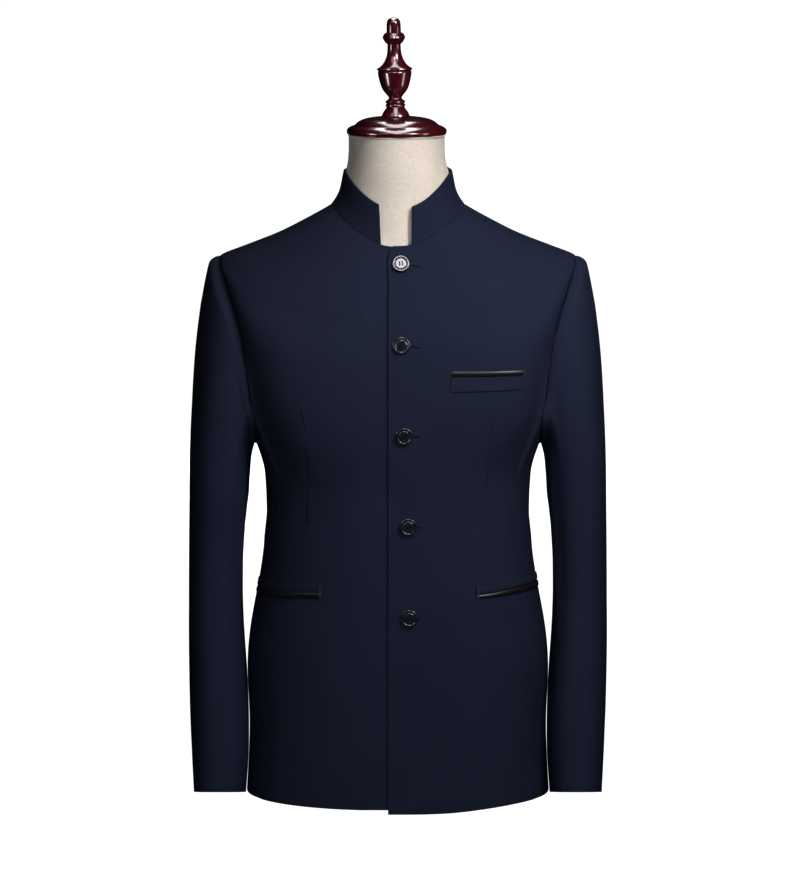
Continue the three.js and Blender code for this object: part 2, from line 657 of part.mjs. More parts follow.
for (const name of ["left", "right"]) {
  add(`front_${name}`, front(name), "suiting");
  add(`side_panel_${name}`, sidePanel(name), "suiting");
  add(`back_${name}`, back(name), "suiting");
  add(`top_sleeve_${name}`, sleevePiece(name, "top"), "suiting");
  add(`under_sleeve_${name}`, sleevePiece(name, "under"), "suiting");
  add(`pocket_jet_${name}`, hipPocket(name, "middle", "top", SEAM), "suiting");
  add(`pocket_piping_${name}`, hipPocket(name, "bottom", "middle", 0), "satin");
}
add("collar", collar(), "suiting");
add("chest_welt", chestPocket("bottom", "middle", 0), "suiting");
add("chest_piping", chestPocket("middle", "top", SEAM), "satin");

BUTTONS.forEach((spot, i) => {
  const { geometry, place, out } = button(spot);
  const mesh = add(`button_${i + 1}`, geometry, "button");
  mesh.position.copy(place);
  mesh.quaternion.setFromUnitVectors(new THREE.Vector3(0, 0, 1), out);
});

add("form_torso", formTorso(), "linen");
add("base_board", baseBoard(), "wood");
for (const [name, profile, x, z, segments, material] of [
  ["neck_rim", RIM_PROFILE, NECK.x, NECK.top + SEAM, 28, "linen"],
  ["cap", CAP_PROFILE, NECK.x, CAP_Z, 28, "wood"],
  ["finial", FINIAL_PROFILE, FINIAL.x, FINIAL.z, 16, "wood"],
]) {
  const mesh = add(name, turned(profile, segments), material);
  mesh.position.set(x, NECK.y, z);
  if (name === "finial") mesh.rotation.y = -FINIAL.lean * RAD;
}

export default jacketOnForm;
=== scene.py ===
import json
import math

import bmesh
import bpy
import numpy as np
from mathutils import Matrix, Vector
from mathutils.bvhtree import BVHTree
from mathutils.kdtree import KDTree

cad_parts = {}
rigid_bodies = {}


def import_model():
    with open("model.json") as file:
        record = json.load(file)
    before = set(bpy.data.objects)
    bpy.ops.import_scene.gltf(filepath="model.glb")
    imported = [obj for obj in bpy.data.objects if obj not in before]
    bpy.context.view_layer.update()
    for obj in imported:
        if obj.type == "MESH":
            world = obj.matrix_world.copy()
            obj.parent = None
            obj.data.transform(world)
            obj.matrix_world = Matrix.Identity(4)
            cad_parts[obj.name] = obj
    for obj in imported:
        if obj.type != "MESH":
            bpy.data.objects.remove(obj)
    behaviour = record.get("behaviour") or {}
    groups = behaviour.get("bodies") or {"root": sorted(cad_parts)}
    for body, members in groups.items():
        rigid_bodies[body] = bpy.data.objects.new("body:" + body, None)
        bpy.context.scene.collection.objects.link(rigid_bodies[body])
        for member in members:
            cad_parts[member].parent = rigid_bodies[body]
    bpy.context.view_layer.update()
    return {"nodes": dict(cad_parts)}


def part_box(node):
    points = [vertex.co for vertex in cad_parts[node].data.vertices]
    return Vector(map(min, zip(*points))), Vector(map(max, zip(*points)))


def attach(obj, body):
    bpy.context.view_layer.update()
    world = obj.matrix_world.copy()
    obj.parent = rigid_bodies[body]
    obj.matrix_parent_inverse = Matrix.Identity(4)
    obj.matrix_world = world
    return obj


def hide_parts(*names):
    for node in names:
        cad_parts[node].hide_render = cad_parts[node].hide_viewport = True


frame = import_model()

# ---- Suiting ----
# Navy worsted in a fine twill, nearly without gloss. The twill runs on each piece's own grain,
# which its UV map holds in metres.


class Tone:
    """A value that varies over a surface. Sums on it add the nodes that work them out."""

    def __init__(self, finish, socket):
        self.finish = finish
        self.socket = socket

    def __add__(self, other):
        return self.finish.math("ADD", self, other)

    def __sub__(self, other):
        return self.finish.math("SUBTRACT", self, other)

    def __rsub__(self, other):
        return self.finish.math("SUBTRACT", other, self)

    def __mul__(self, other):
        return self.finish.math("MULTIPLY", self, other)

    def __truediv__(self, other):
        return self.finish.math("DIVIDE", self, other)

    __radd__ = __add__
    __rmul__ = __mul__


class Finish:
    """A material under construction: its nodes, and the shader that they feed."""

    def __init__(self, name, **constants):
        self.material = bpy.data.materials.new(name)
        self.material.use_nodes = True
        self.nodes = self.material.node_tree.nodes
        self.links = self.material.node_tree.links
        self.shader = self.nodes["Principled BSDF"]
        for socket, value in constants.items():
            self.shader.inputs[socket.replace("_", " ")].default_value = value

    def node(self, kind, settings, sockets, output=0):
        """Adds a node. Its settings are made first, then each socket gets its value or link."""
        made = self.nodes.new(kind)
        for name, value in settings.items():
            setattr(made, name, value)
        for name, value in sockets.items():
            self.feed(made.inputs[name], value)
        return Tone(self, made.outputs[output])

    def feed(self, socket, value):
        if isinstance(value, Tone):
            self.links.new(value.socket, socket)
        else:
            socket.default_value = value

    def math(self, operation, *values):
        return self.node("ShaderNodeMath", {"operation": operation}, dict(enumerate(values)))

    def wave(self, phase):
        """Runs from -1 to 1 and back each time the phase grows by one."""
        return self.math("SINE", phase * math.tau)

    def noise(self, scale, detail=2.0, vector=None):
        """Noise about zero, from about -0.3 to 0.3. The scale is in waves to the metre."""
        place = vector or self.place()
        sockets = {"Vector": place, "Scale": scale, "Detail": detail}
        return self.node("ShaderNodeTexNoise", {}, sockets) - 0.5

    def place(self):
        """Where a point is, in the object's own coordinates."""
        return self.node("ShaderNodeTexCoord", {}, {}, "Object")

    def stretched(self, scale):
        """The same, with each axis scaled: waves to the metre along x, y and z."""
        return self.node("ShaderNodeMapping", {}, {"Vector": self.place(), "Scale": scale})

    def split(self, vector):
        """The x, y and z of a vector."""
        x = self.node("ShaderNodeSeparateXYZ", {}, {"Vector": vector})
        return [Tone(self, output) for output in x.socket.node.outputs]

    def grain(self):
        """How far across and up the piece's own cut a point is, in metres."""
        return self.split(self.node("ShaderNodeUVMap", {"uv_map": "grain"}, {}))[:2]

    def colour(self, low, high, share):
        """Mixes two colours by a tone about zero."""
        share = self.math("ADD", share, 0.5)
        return self.node(
            "ShaderNodeMix",
            {"data_type": "RGBA", "clamp_factor": True},
            {0: share, 6: (*low, 1), 7: (*high, 1)},
            2,
        )

    def surface(self, colour, roughness, height, depth, strength):
        """Feeds the shader. The depth is that of the relief, in metres."""
        relief = {"Height": height, "Distance": depth, "Strength": strength}
        self.feed(self.shader.inputs["Base Color"], colour)
        self.feed(self.shader.inputs["Roughness"], roughness)
        self.feed(self.shader.inputs["Normal"], self.node("ShaderNodeBump", {}, relief))
        return self.material


TWILL_PITCH = 0.0011
NAVY = (0.0092, 0.0114, 0.0225), (0.0146, 0.0181, 0.0350)


def suiting_finish():
    cloth = Finish("navy worsted", Specular_IOR_Level=0.01)
    across, up = cloth.grain()
    twill = cloth.wave((across + up) / TWILL_PITCH)
    yarn = cloth.noise(1400)
    mottle = cloth.noise(16, 3)
    shade = twill * 0.16 + yarn * 1.1 + mottle * 0.5
    return cloth.surface(
        cloth.colour(*NAVY, shade),
        0.72 + yarn * 0.3 + mottle * 0.15,
        twill * 0.5 + yarn,
        0.00006,
        0.35,
    )


SUITING = suiting_finish()

# ---- Fronts, side panels and back ----
# Worsted with its interlining, cut with a centre back seam and two side panels. Each piece is the
# outer face of its pattern solid, rounded out, softly creased by wear, and turned in at its edges.

WALL = 0.002
EDGE_ROUND = 0.0007
SHEET_LEVELS = 3
ROUNDING_PASSES = 6


def select_only(piece):
    bpy.ops.object.select_all(action="DESELECT")
    piece.select_set(True)
    bpy.context.view_layer.objects.active = piece


def copy_of(node, name):
    """A copy of a solid with clean four-sided faces, left in edit mode."""
    piece = bpy.data.objects.new(name, frame["nodes"][node].data.copy())
    bpy.context.collection.objects.link(piece)
    piece.data.materials.clear()
    select_only(piece)
    bpy.ops.mesh.customdata_custom_splitnormals_clear()
    bpy.ops.object.mode_set(mode="EDIT")
    bpy.ops.mesh.select_all(action="SELECT")
    bpy.ops.mesh.remove_doubles(threshold=0.00001)
    bpy.ops.mesh.tris_convert_to_quads(face_threshold=math.radians(35), shape_threshold=math.radians(80))
    return piece


def outer_face(node, name, faces_body=False):
    """The outer face of a panel's solid alone. An under sleeve's outer face is the one at the body."""
    piece = copy_of(node, name)
    bpy.ops.mesh.select_all(action="DESELECT")
    bpy.ops.mesh.select_mode(type="EDGE")
    bpy.ops.mesh.edges_select_sharp(sharpness=math.radians(50))
    bpy.ops.mesh.mark_seam()
    bpy.ops.mesh.select_all(action="DESELECT")
    bpy.ops.mesh.select_mode(type="FACE")
    mesh = bmesh.from_edit_mesh(piece.data)
    large = 0.3 * max(face.calc_area() for face in mesh.faces)
    faces = [face for face in mesh.faces if face.calc_area() > large]
    faces.sort(key=lambda face: face.calc_center_median().xy.length)
    faces[0 if faces_body else -1].select_set(True)
    bmesh.update_edit_mesh(piece.data)
    bpy.ops.mesh.select_linked(delimit={"SEAM"})
    bpy.ops.mesh.select_all(action="INVERT")
    bpy.ops.mesh.delete(type="FACE")
    bpy.ops.mesh.select_all(action="SELECT")
    bpy.ops.mesh.mark_seam(clear=True)
    return piece


def lay_grain(piece):
    """Lays the cut flat in the UV map, in metres, with its grain upright. Starts in edit mode."""
    bpy.ops.mesh.select_all(action="SELECT")
    bpy.ops.uv.unwrap(method="ANGLE_BASED", margin=0)
    bpy.ops.object.mode_set(mode="OBJECT")
    mesh = piece.data
    flat = mesh.uv_layers.active
    flat.name = "grain"
    uv = np.array([loop.uv[:] for loop in flat.data])
    place = np.array([mesh.vertices[loop.vertex_index].co[:] for loop in mesh.loops])
    fit = np.linalg.lstsq(np.c_[uv, np.ones(len(uv))], place[:, 2], rcond=None)[0][:2]
    up = fit / np.linalg.norm(fit)
    corners = [uv[list(face.loop_indices)] for face in mesh.polygons]
    cut = sum(abs(np.cross(c[2] - c[0], c[-1] - c[1])) / 2 for c in corners)
    scale = math.sqrt(sum(face.area for face in mesh.polygons) / cut)
    turned = np.c_[uv @ (up[1], -up[0]), uv @ up] * scale
    for loop, value in zip(flat.data, turned):
        loop.uv = value


def points_of(mesh):
    found = np.empty(len(mesh.vertices) * 3)
    mesh.vertices.foreach_get("co", found)
    return found.reshape(-1, 3)


def normals_of(mesh):
    return np.array([vertex.normal[:] for vertex in mesh.vertices])


def move_points(mesh, points):
    mesh.vertices.foreach_set("co", points.ravel())
    mesh.update()


def round_out(piece, levels):
    """Subdivision draws a face inside its first points, so these go out until it passes through them."""
    smooth = piece.modifiers.new("Subdivision", "SUBSURF")
    smooth.boundary_smooth = "PRESERVE_CORNERS"
    smooth.levels = smooth.render_levels = 1
    goal = points_of(piece.data)
    for _ in range(ROUNDING_PASSES):
        rounded = points_of(piece.evaluated_get(bpy.context.evaluated_depsgraph_get()).data)
        move_points(piece.data, points_of(piece.data) + goal - rounded[: len(goal)])
    smooth.levels = smooth.render_levels = levels
    select_only(piece)
    bpy.ops.object.modifier_apply(modifier=smooth.name)


def surface_of(*pieces):
    """What rays are cast at to find a place on these pieces."""
    trees = []
    for piece in pieces:
        points = [vertex.co for vertex in piece.data.vertices]
        faces = [face.vertices[:] for face in piece.data.polygons]
        trees.append(BVHTree.FromPolygons(points, faces))

    def hit(start, way):
        """The first place that a ray meets: where it is, the normal there, and more."""
        found = [tree.ray_cast(Vector(start), Vector(way)) for tree in trees]
        found = [place for place in found if place[0]]
        return min(found, key=lambda place: place[3], default=None)

    return hit


CREASE_STEPS = 13
FREE_HEM = 0.022
SEAM_CALM = 0.014


def crease_path(hit, side, middle, turn_from, z_from, turn_to, z_to):
    """The points that a crease follows on a sheet, from one turn and height to another."""
    path = []
    for share in np.linspace(0, 1, CREASE_STEPS):
        turn = math.radians(turn_from + (turn_to - turn_from) * share)
        z = (z_from + (z_to - z_from) * share) / 1000
        place = hit((*middle(z), z), (side * math.sin(turn), -math.cos(turn), 0))
        if place:
            path.append(place[0])
    return np.array(path)


def near_path(points, path):
    """How far each point is from a path, and how far along it, as a share of its length."""
    nearest = np.full(len(points), np.inf)
    along = np.zeros(len(points))
    for i, (start, end) in enumerate(zip(path, path[1:])):
        span = end - start
        share = np.clip((points - start) @ span / (span @ span), 0, 1)
        distance = np.linalg.norm(points - start - share[:, None] * span, axis=1)
        closer = distance < nearest
        nearest[closer] = distance[closer]
        along[closer] = (i + share[closer]) / (len(path) - 1)
    return nearest, along


def seam_distance(mesh, points):
    """How far each point is from the sheet's edges, but for the free hem."""
    uses = {}
    for face in mesh.polygons:
        for key in face.edge_keys:
            uses[key] = uses.get(key, 0) + 1
    rim = sorted({vertex for key, count in uses.items() if count == 1 for vertex in key})
    rim = [vertex for vertex in rim if points[vertex][2] > FREE_HEM]
    tree = KDTree(len(rim))
    for vertex in rim:
        tree.insert(points[vertex], vertex)
    tree.balance()
    return np.array([tree.find(point)[2] for point in points])


def crease(piece, side, middle, rows, calm):
    """Presses soft troughs and ridges into a sheet. A row runs from one place to another, each a turn
    in degrees round the middle from the front, and a height, then has its rise and half width. All
    fade out over the calm distance from the piece's seams, which stay on their neighbours."""
    mesh = piece.data
    points = points_of(mesh)
    hit = surface_of(piece)
    lift = np.zeros(len(points))
    for *ends, rise, width in rows:
        path = crease_path(hit, side, middle, *ends)
        nearest, along = near_path(points, path)
        across = np.exp(-((nearest * 1000 / width) ** 2))
        lift += rise / 1000 * across * np.sin(math.pi * along) ** 0.8
    fade = np.clip(seam_distance(mesh, points) / calm, 0, 1)
    fade = fade * fade * (3 - 2 * fade)
    move_points(mesh, points + normals_of(mesh) * (lift * fade)[:, None])


SEAM_OPEN = -0.00028
SEAM_SHUT = 0.00022
# Heights between which the seams are closed: hem and cuffs, the underarm point, the shoulders.
CLOSED_SEAMS = [(-1.0, 0.10), (0.559, 0.567), (0.664, 2.0)]
CLOSED_BEHIND = 0.015
CLOSING_RUN = 0.005


def let_out(piece):
    """Moves a sheet's edges along itself. Seams are drawn in to a fine dark line in front, and closed
    behind and at the closed heights, where light would come through them."""
    mesh = bmesh.new()
    mesh.from_mesh(piece.data)
    moves = {}
    for edge in mesh.edges:
        if edge.is_boundary:
            face = edge.link_faces[0]
            ends = [vertex.co for vertex in edge.verts]
            out = (ends[1] - ends[0]).cross(face.normal).normalized()
            if out.dot((ends[0] + ends[1]) / 2 - face.calc_center_median()) < 0:
                out = -out
            for vertex in edge.verts:
                moves[vertex] = moves.get(vertex, Vector()) + out
    for vertex, out in moves.items():
        inside = max(min(vertex.co.z - low, high - vertex.co.z) for low, high in CLOSED_SEAMS)
        inside = max(inside, vertex.co.y - CLOSED_BEHIND)
        share = min(max(inside / CLOSING_RUN + 1, 0), 1)
        reach = SEAM_OPEN + (SEAM_SHUT - SEAM_OPEN) * share
        vertex.co += out.normalized() * reach
    mesh.to_mesh(piece.data)
    mesh.free()


def turn_in(piece, wall=WALL, edge=EDGE_ROUND):
    """Gives the sheet its thickness, inwards, and softens the fold all round its edges."""
    let_out(piece)
    select_only(piece)
    thick = piece.modifiers.new("Solidify", "SOLIDIFY")
    thick.thickness = wall
    thick.offset = -1
    bpy.ops.object.modifier_apply(modifier=thick.name)
    soft = piece.modifiers.new("Bevel", "BEVEL")
    soft.width = edge
    soft.segments = 2
    soft.limit_method = "ANGLE"
    soft.angle_limit = math.radians(60)
    bpy.ops.object.modifier_apply(modifier=soft.name)
    bpy.ops.object.shade_smooth_by_angle(angle=math.radians(50))


def dress(piece, material, slot, *nodes):
    """Gives a piece its finish and hangs it on the root body. The solids that it stands for are hidden."""
    piece.data.materials.append(material)
    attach(piece, "root")
    if nodes:
        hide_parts(*nodes)
    return piece


def panel(node, name, side, middle, rows, faces_body=False):
    """A piece of the cut as one sheet, rounded out and creased, but with no thickness yet."""
    piece = outer_face(node, name, faces_body)
    lay_grain(piece)
    round_out(piece, SHEET_LEVELS)
    crease(piece, side, middle, rows, SEAM_CALM)
    return piece


def body_middle(z):
    """The body's middle line is upright, so it is the same at every height."""
    return 0.0, 0.0


FRONT_CREASES = {
    # turn and height of one end, turn and height of the other, rise, half width
    "left": [
        (47, 500, 42, 372, 0.7, 15),
        (58, 432, 40, 470, 0.6, 10),
        (62, 352, 30, 366, -0.6, 12),
        (60, 328, 40, 336, 0.45, 10),
        (28, 190, 31, 8, 0.9, 17),
        (46, 170, 50, 8, -1.0, 16),
        (14, 620, 40, 560, -0.35, 20),
    ],
    "right": [
        (48, 492, 44, 385, 0.8, 13),
        (57, 428, 38, 462, 0.7, 11),
        (60, 346, 34, 360, -0.7, 11),
        (58, 322, 36, 326, 0.5, 12),
        (25, 160, 26, 8, 0.8, 18),
        (44, 200, 47, 8, -0.9, 14),
        (12, 628, 38, 575, -0.4, 22),
    ],
}
# In front of each armhole the cloth falls in under the sleeve.
ARMHOLE_FOLD = [
    (62, 560, 60, 395, -3.2, 20),
    (65.0, 550, 64.0, 400, -2.2, 11),
]
FOLD_CALM = 0.005
SIDE_CREASES = [
    (70, 352, 108, 345, -0.7, 11),
    (72, 392, 104, 380, 0.6, 12),
    (76, 318, 112, 326, 0.5, 10),
    (80, 205, 84, 8, 0.9, 15),
    (100, 180, 98, 8, -0.8, 13),
]
BACK_CREASES = {
    "left": [
        (124, 520, 136, 372, -2.0, 15),
        (137, 500, 146, 350, 1.2, 17),
        (122, 452, 152, 432, 0.9, 12),
        (124, 356, 172, 344, -1.1, 12),
        (130, 380, 166, 374, 0.7, 11),
        (126, 330, 160, 318, 0.6, 12),
        (134, 210, 131, 8, 1.2, 18),
        (154, 230, 156, 8, -1.3, 17),
        (150, 655, 128, 620, -0.5, 16),
    ],
    "right": [
        (125, 512, 139, 385, -1.7, 14),
        (140, 508, 147, 366, 1.0, 16),
        (123, 444, 149, 426, 0.8, 13),
        (122, 350, 170, 352, -0.9, 13),
        (128, 376, 162, 382, 0.8, 12),
        (130, 322, 158, 326, 0.5, 11),
        (130, 190, 128, 8, 1.0, 16),
        (151, 250, 152, 8, -1.4, 18),
        (152, 650, 131, 628, -0.4, 18),
    ],
}

DART_DEPTH = 0.0007
DART_WIDTH = 0.0007
DART_BAND = 0.02
# The x and z of each dart's turns, in mm, from its top down.
DARTS = {
    "left": [(113.6, 489), (106, 423), (105.8, 279)],
    "right": [(-118.6, 497), (-108.4, 453), (-107, 279)],
}


def sew_dart(piece, stops):
    """A dart is a straight seam inside a front: cut along its line, with the line drawn in, and less
    so towards its ends."""
    for (x_a, z_a), (x_b, z_b) in zip(stops, stops[1:]):
        line = Vector((x_b - x_a, 0, z_b - z_a)).normalized()
        square = Vector((line.z, 0, -line.x))
        middle = Vector(((x_a + x_b) / 2000, 0, (z_a + z_b) / 2000))
        half = math.hypot(x_b - x_a, z_b - z_a) / 2000
        select_only(piece)
        bpy.ops.object.mode_set(mode="EDIT")
        bpy.ops.mesh.select_all(action="DESELECT")
        mesh = bmesh.from_edit_mesh(piece.data)
        for face in mesh.faces:
            off = face.calc_center_median() - middle
            if abs(off.dot(line)) < half and abs(off.dot(square)) < DART_BAND:
                face.select_set(True)
        bmesh.update_edit_mesh(piece.data)
        bpy.ops.mesh.bisect(plane_co=middle, plane_no=square)
        bpy.ops.mesh.bevel(offset=DART_WIDTH, segments=2, affect="EDGES")
        bpy.ops.object.mode_set(mode="OBJECT")
        points = points_of(piece.data)
        off = points - np.array(middle)
        along = np.abs(off @ np.array(line)) / half
        on_line = (np.abs(off @ np.array(square)) < DART_WIDTH * 0.3) & (along < 1)
        draw = np.where(on_line, DART_DEPTH * np.clip((1.02 - along) * 6, 0, 1), 0)
        move_points(piece.data, points - normals_of(piece.data) * draw[:, None])


def hang_body(name, side):
    """One side of the body. Returns the faces that its pockets and buttons lie on."""
    front = panel(f"front_{name}", f"{name}_front", side, body_middle, FRONT_CREASES[name])
    crease(front, side, body_middle, ARMHOLE_FOLD, FOLD_CALM)
    sew_dart(front, DARTS[name])
    side_body = panel(f"side_panel_{name}", f"{name}_side_body", side, body_middle, SIDE_CREASES)
    back = panel(f"back_{name}", f"{name}_back", side, body_middle, BACK_CREASES[name])
    faces = [surface_of(front, side_body), surface_of(front)]
    for piece, node in ((front, "front"), (side_body, "side_panel"), (back, "back")):
        turn_in(piece)
        dress(piece, SUITING, "suiting", f"{node}_{name}")
    return faces


SIDES = {"left": 1, "right": -1}
body_face = {}
front_face = {}
for name, side in SIDES.items():
    body_face[name], front_face[name] = hang_body(name, side)

# ---- Sleeves ----
# Cut in two: a top sleeve over the arm and an under sleeve along the body, set into the armhole
# with a little fullness. They hang bent slightly forward at the elbow.

ARM_X = 0.214
# The arm's middle line from the side: heights, and how far forward it is there.
ARM_HEIGHTS = (0.0, 0.16, 0.32, 0.66)
ARM_DEPTHS = (-0.046, -0.015, 0.005, 0.0)
TOP_SLEEVE_CREASES = {
    "left": [
        (8, 338, 60, 322, -0.9, 10),
        (2, 308, 44, 300, -0.7, 9),
        (-20, 292, 30, 276, 0.6, 9),
        (14, 372, 66, 386, 0.6, 12),
        (150, 344, 206, 318, -1.3, 11),
        (158, 312, 204, 296, -1.0, 9),
        (150, 372, 200, 362, 0.8, 12),
        (40, 560, 30, 430, -0.8, 16),
        (62, 580, 58, 420, 0.5, 18),
        (140, 560, 160, 430, -1.4, 17),
        (84, 240, 80, 90, 0.6, 18),
    ],
    "right": [
        (10, 345, 56, 333, -0.8, 10),
        (4, 316, 50, 300, -0.8, 10),
        (-16, 286, 34, 272, 0.6, 10),
        (18, 380, 60, 398, 0.5, 13),
        (148, 350, 204, 326, -1.2, 12),
        (156, 318, 206, 306, -1.1, 10),
        (152, 380, 198, 366, 0.9, 11),
        (44, 548, 30, 420, -1.0, 15),
        (66, 590, 60, 400, 0.6, 17),
        (138, 550, 162, 440, -1.2, 16),
        (86, 230, 84, 70, 0.5, 19),
    ],
}
# The inner front of the arm, squared a little below the armhole.
ARM_RIDGE = [
    (-33, 520, -32, 200, 4.5, 11),
]
UNDER_SLEEVE_CREASES = [
    (-40, 330, -120, 322, -1.0, 10),
    (-50, 302, -124, 292, -0.8, 10),
    (-44, 366, -116, 374, 0.7, 12),
    (-80, 250, -84, 90, 0.6, 16),
]


def arm_middle(side):
    def middle(z):
        return side * ARM_X, float(np.interp(z, ARM_HEIGHTS, ARM_DEPTHS))

    return middle


for name, side in SIDES.items():
    middle = arm_middle(side)
    top = panel(f"top_sleeve_{name}", f"{name}_top_sleeve", side, middle, TOP_SLEEVE_CREASES[name])
    under = panel(f"under_sleeve_{name}", f"{name}_under_sleeve", side, middle, UNDER_SLEEVE_CREASES, True)
    crease(top, side, middle, ARM_RIDGE, FOLD_CALM)
    for piece, node in ((top, "top_sleeve"), (under, "under_sleeve")):
        turn_in(piece)
        dress(piece, SUITING, "suiting", f"{node}_{name}")

# ---- Stand collar ----
# One band of worsted over stiff interlining, sewn to the neck seam, with its ends apart in front.

collar = panel("collar", "stand_collar", 1, body_middle, [])
turn_in(collar)
dress(collar, SUITING, "suiting", "collar")

# ---- Pockets ----
# Each mouth is edged with a roll of black satin: over a stitched welt on the chest, and under a
# jet of the suiting at each hip. The strips are laid on the fronts and sewn down at their edges.

SATIN_BLACK = (0.0030, 0.0030, 0.0034), (0.0075, 0.0073, 0.0072)


def satin_finish():
    satin = Finish("black satin", Specular_IOR_Level=0.22)
    across, up = satin.grain()
    floats = satin.wave(across / 0.0006) * 0.3 + satin.noise(1.0, 2, satin.stretched((260, 260, 2600)))
    return satin.surface(
        satin.colour(*SATIN_BLACK, floats),
        0.38 + floats * 0.12,
        floats,
        0.00004,
        0.3,
    )


SATIN = satin_finish()
CAST_FROM = 0.01
STRIP_STRETCHES = 24
STRIP_EDGE = 0.0005
# How far the middle is raised, how far the edges lie off the cloth, and the wall.
JET_SIZES = 0.0005, 0.0016, 0.0014
ROLL_SIZES = 0.0009, 0.0012, 0.0011
WELT_SIZES = 0.0, 0.0016, 0.0013


def strip(node, name, face, bulge, height, wall):
    """A strip laid on the face of the body, with its middle raised in a roll. How far up the strip a
    point is, from edge to edge, is worked out in short stretches along it."""
    piece = outer_face(node, name)
    lay_grain(piece)
    round_out(piece, SHEET_LEVELS)
    mesh = piece.data
    points = points_of(mesh)
    normals = normals_of(mesh)
    across, up = np.zeros((2, len(points)))
    for loop, value in zip(mesh.loops, mesh.uv_layers["grain"].data):
        across[loop.vertex_index], up[loop.vertex_index] = value.uv
    stretches = np.digitize(across, np.linspace(across.min(), across.max(), STRIP_STRETCHES))
    share = np.zeros(len(points))
    for stretch in np.unique(stretches):
        here = stretches == stretch
        share[here] = (up[here] - up[here].min()) / max(float(np.ptp(up[here])), 1e-6)
    moved = []
    for point, normal, part in zip(points, normals, share):
        way = Vector(normal)
        place = face(Vector(point) + way * CAST_FROM, -way)
        base = place[0] if place else Vector(point) - way * height
        rise = height + bulge * math.sin(math.pi * part)
        moved.append((base + way * rise)[:])
    move_points(mesh, np.array(moved))
    turn_in(piece, wall, STRIP_EDGE)
    return piece


for name in SIDES:
    jet = strip(f"pocket_jet_{name}", f"{name}_pocket_jet", body_face[name], *JET_SIZES)
    dress(jet, SUITING, "suiting", f"pocket_jet_{name}")
    roll = strip(f"pocket_piping_{name}", f"{name}_pocket_piping", body_face[name], *ROLL_SIZES)
    dress(roll, SATIN, "satin", f"pocket_piping_{name}")

welt = strip("chest_welt", "chest_pocket_welt", front_face["left"], *WELT_SIZES)
dress(welt, SUITING, "suiting", "chest_welt")
roll = strip("chest_piping", "chest_pocket_piping", front_face["left"], *ROLL_SIZES)
dress(roll, SATIN, "satin", "chest_piping")

# ---- Stitching ----
# Bar tacks hold the ends of each pocket mouth: a few close turns of navy twist, a shade lighter
# than the cloth.


def thread_finish(name, dark, light):
    thread = Finish(name, Specular_IOR_Level=0.06)
    strand = thread.noise(2600, 2)
    colour = thread.colour(dark, light, strand * 2)
    return thread.surface(colour, 0.55 + strand * 0.3, strand, 0.00008, 0.6)


NAVY_THREAD = thread_finish("navy twist", (0.012, 0.014, 0.024), (0.05, 0.056, 0.082))
THREAD_RADIUS = 0.00022
THREAD_ARCH = 0.0002


def stitch(name, paths, radius, material):
    """Threads of round section along a set of paths, all as one mesh."""
    line = bpy.data.curves.new(name, "CURVE")
    line.dimensions = "3D"
    line.bevel_depth = radius
    line.bevel_resolution = 1
    line.use_fill_caps = True
    for path in paths:
        spline = line.splines.new("POLY")
        spline.points.add(len(path) - 1)
        for point, place in zip(spline.points, path):
            point.co = (*place, 1)
    piece = bpy.data.objects.new(name, line)
    bpy.context.collection.objects.link(piece)
    select_only(piece)
    bpy.ops.object.convert(target="MESH")
    bpy.ops.object.shade_smooth()
    piece.data.materials.append(material)
    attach(piece, "root")
    return piece


def on_face(face, x, z, height):
    """A point at x and z, a height out of the face of a front, and the way out there."""
    place = face((x, -0.3, z), (0, 1, 0))
    out = place[1] if place[1].y < 0 else -place[1]
    return place[0] + out * height, out


def bar_tack(face, x, z_low, z_high, turns, spread, height):
    """Close upright turns of thread between two heights, each arched and leaning a little."""
    paths = []
    for i in range(turns):
        offset = spread * (i / max(turns - 1, 1) - 0.5)
        lean = THREAD_ARCH * math.sin(i * 2.1)
        path = []
        for share in np.linspace(0, 1, 7):
            z = z_low + (z_high - z_low) * share
            arch = height + THREAD_ARCH * math.sin(math.pi * share)
            path.append(on_face(face, x + offset + lean * share, z, arch)[0])
        paths.append(path)
    return paths


TACKS = [
    # front, x, lowest and highest, turns, spread, height off the cloth
    ("left", 0.0945, 0.2580, 0.2735, 4, 0.0022, 0.0024),
    ("right", -0.0915, 0.2595, 0.2765, 4, 0.0022, 0.0024),
    ("left", 0.1478, 0.5262, 0.5328, 5, 0.0024, 0.0026),
    ("left", 0.0637, 0.5080, 0.5250, 2, 0.0008, 0.0020),
]
for number, (name, *sizes) in enumerate(TACKS, 1):
    paths = bar_tack(front_face[name], *sizes)
    stitch(f"bar_tack_{number}", paths, THREAD_RADIUS, NAVY_THREAD)

# ---- Buttons ----
# Five buttons of dark polished resin, with a raised rim, a dished middle and four holes. Each is
# sewn on by its holes and stands in a keyhole buttonhole that is worked in twist.

BUTTON_RADIUS = 0.0105
BLANK_DEPTH = 0.0022
BUTTON_SHANK = 0.0007
RESIN_DARK = (0.0045, 0.0050, 0.0085), (0.0125, 0.0135, 0.0200)


def button_finish():
    resin = Finish("dark resin", Specular_IOR_Level=0.35)
    cloud = resin.noise(240, 3)
    scuff = resin.noise(2200, 2)
    return resin.surface(
        resin.colour(*RESIN_DARK, cloud * 2),
        0.20 + scuff * 0.06,
        scuff,
        0.000005,
        0.1,
    )


RESIN = button_finish()
HOLE_SPACING = 0.0016
HOLE_RADIUS = 0.0010
DRILL_LENGTH = 0.02
# Inwards from the edge: the width of each step of the face, and its rise.
BUTTON_STEPS = [
    (0.0003, 0.0006),
    (0.0006, 0.0004),
    (0.0008, 0.00002),
    (0.0008, -0.00002),
    (0.0006, -0.0007),
    (0.0006, 0.0),
    (0.0005, 0.0005),
    (0.0030, -0.0001),
]


